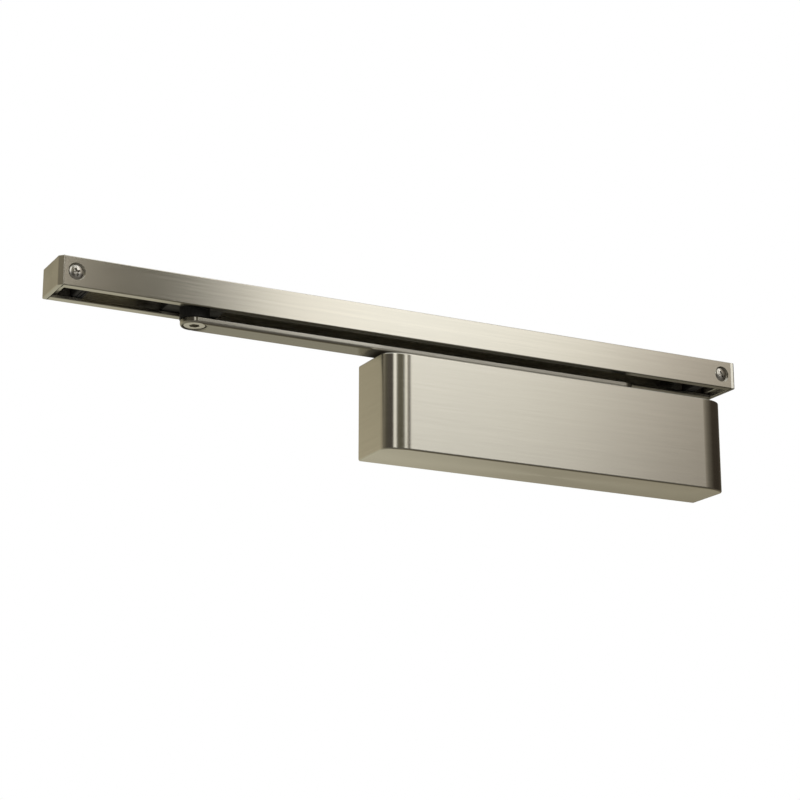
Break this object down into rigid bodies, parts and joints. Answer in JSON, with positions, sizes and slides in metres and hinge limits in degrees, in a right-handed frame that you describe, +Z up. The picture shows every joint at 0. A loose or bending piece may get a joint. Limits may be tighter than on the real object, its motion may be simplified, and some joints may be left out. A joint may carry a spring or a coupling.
{
  "type": "door closer",
  "caption": "Overhead cam-action door closer with rectangular cover, flat track arm and slide rail, satin nickel, arm lying under the rail as on a shut door.",
  "frame": {"origin": "centre of the closer body's flat back face, the face that is screwed to the door", "axes": "+X along the rail towards the hinge side of the door, +Y into the door and frame, +Z up; the cover's front faces -Y"},
  "size_m": [0.45, 0.0371, 0.0875],
  "materials": {
    "cover_nickel": "satin, brushed lengthwise, nickel plated",
    "rail_nickel": "satin, brushed lengthwise, nickel colour anodised",
    "arm_nickel": "satin nickel plate",
    "bright_screws": "bright plated",
    "hardened_steel": "ground",
    "spring_steel": "oil blackened",
    "housing_alloy": "as cast",
    "valve_brass": "turned",
    "bush_bronze": "turned bronze",
    "slider_nylon": "moulded",
    "seal_rubber": "moulded"
  },
  "bodies": {
    "closer_body": {"housing": "housing_alloy", "cover": "cover_nickel", "cover_clip_top_left": "spring_steel", "cover_clip_top_right": "spring_steel", "cover_clip_bottom_left": "spring_steel", "cover_clip_bottom_right": "spring_steel", "housing_screw_1": "bright_screws", "housing_screw_2": "bright_screws", "housing_screw_3": "bright_screws", "housing_screw_4": "bright_screws", "top_bearing": "hardened_steel", "bottom_bearing": "hardened_steel", "top_gland": "bright_screws", "bottom_gland": "bright_screws", "top_spindle_seal": "seal_rubber", "bottom_spindle_seal": "seal_rubber", "spring_plug": "bright_screws", "damper_plug": "bright_screws", "spring_plug_o_ring": "seal_rubber", "damper_plug_o_ring": "seal_rubber", "closing_spring": "spring_steel", "return_spring": "spring_steel"},
    "arm": {"arm": "arm_nickel", "arm_screw": "bright_screws", "cam_spindle": "hardened_steel", "pivot_stud": "bright_screws", "pivot_circlip": "spring_steel"},
    "slider": {"slider_block": "slider_nylon", "slider_bush": "bush_bronze"},
    "rail": {"slide_rail": "rail_nickel", "left_end_cap": "rail_nickel", "right_end_cap": "rail_nickel", "left_rail_screw": "bright_screws", "right_rail_screw": "bright_screws", "left_buffer": "seal_rubber", "right_buffer": "seal_rubber"},
    "spring_piston": {"spring_piston": "hardened_steel", "spring_roller_pin": "hardened_steel"},
    "spring_roller": {"spring_roller": "bright_screws"},
    "damper_piston": {"damper_piston": "hardened_steel", "damper_roller_pin": "hardened_steel"},
    "damper_roller": {"damper_roller": "bright_screws"},
    "spring_adjuster": {"spring_adjuster": "bright_screws"},
    "spring_seat": {"spring_seat": "bright_screws"},
    "closing_valve": {"closing_valve": "valve_brass"},
    "latching_valve": {"latching_valve": "valve_brass"},
    "backcheck_valve": {"backcheck_valve": "valve_brass"}
  },
  "joints": [
    {"name": "arm_swing", "type": "hinge", "parent": "closer_body", "child": "arm", "pos_m": [0.055, -0.0147, 0.0348], "axis": [0, 0, -1], "range_deg": [0, 180], "stiffness_Nm_per_rad": 6, "springref_deg": -85.94},
    {"name": "slider_pivot", "type": "hinge", "parent": "arm", "child": "slider", "pos_m": [-0.2307, -0.0147, 0.045], "axis": [0, 0, 1], "continuous": true},
    {"name": "rail_slide", "type": "slide", "parent": "slider", "child": "rail", "axis": [1, 0, 0], "range_m": [-0.3254, 0.046]},
    {"name": "spring_piston_slide", "type": "slide", "parent": "closer_body", "child": "spring_piston", "axis": [-1, 0, 0], "range_m": [0, 0.0063], "deforming": ["closing_spring"]},
    {"name": "damper_piston_slide", "type": "slide", "parent": "closer_body", "child": "damper_piston", "axis": [-1, 0, 0], "range_m": [0, 0.0063], "deforming": ["return_spring"]},
    {"name": "spring_roller_spin", "type": "hinge", "parent": "spring_piston", "child": "spring_roller", "pos_m": [0.0441, -0.0147, 0], "axis": [0, 0, 1], "continuous": true},
    {"name": "damper_roller_spin", "type": "hinge", "parent": "damper_piston", "child": "damper_roller", "pos_m": [0.07218, -0.0147, 0], "axis": [0, 0, 1], "continuous": true},
    {"name": "spring_adjuster_turn", "type": "hinge", "parent": "closer_body", "child": "spring_adjuster", "pos_m": [-0.104, -0.0147, 0], "axis": [1, 0, 0], "range_deg": [-1440, 1440]},
    {"name": "spring_seat_slide", "type": "slide", "parent": "closer_body", "child": "spring_seat", "axis": [1, 0, 0], "range_m": [-0.0049, 0.0049], "deforming": ["closing_spring"]},
    {"name": "closing_valve_turn", "type": "hinge", "parent": "closer_body", "child": "closing_valve", "pos_m": [0.104, -0.0235, 0.0185], "axis": [1, 0, 0], "range_deg": [-360, 720]},
    {"name": "latching_valve_turn", "type": "hinge", "parent": "closer_body", "child": "latching_valve", "pos_m": [0.104, -0.0235, -0.0185], "axis": [1, 0, 0], "range_deg": [-360, 720]},
    {"name": "backcheck_valve_turn", "type": "hinge", "parent": "closer_body", "child": "backcheck_valve", "pos_m": [0.02, -0.031, 0.0185], "axis": [0, -1, 0], "range_deg": [-360, 720]}
  ],
  "couplings": [
    {"joint": "spring_piston_slide", "follows": "arm_swing", "m_per_rad": 0.002},
    {"joint": "damper_piston_slide", "follows": "arm_swing", "m_per_rad": 0.002},
    {"joint": "spring_seat_slide", "follows": "spring_adjuster_turn", "m_per_rad": 0.00019099}
  ]
}
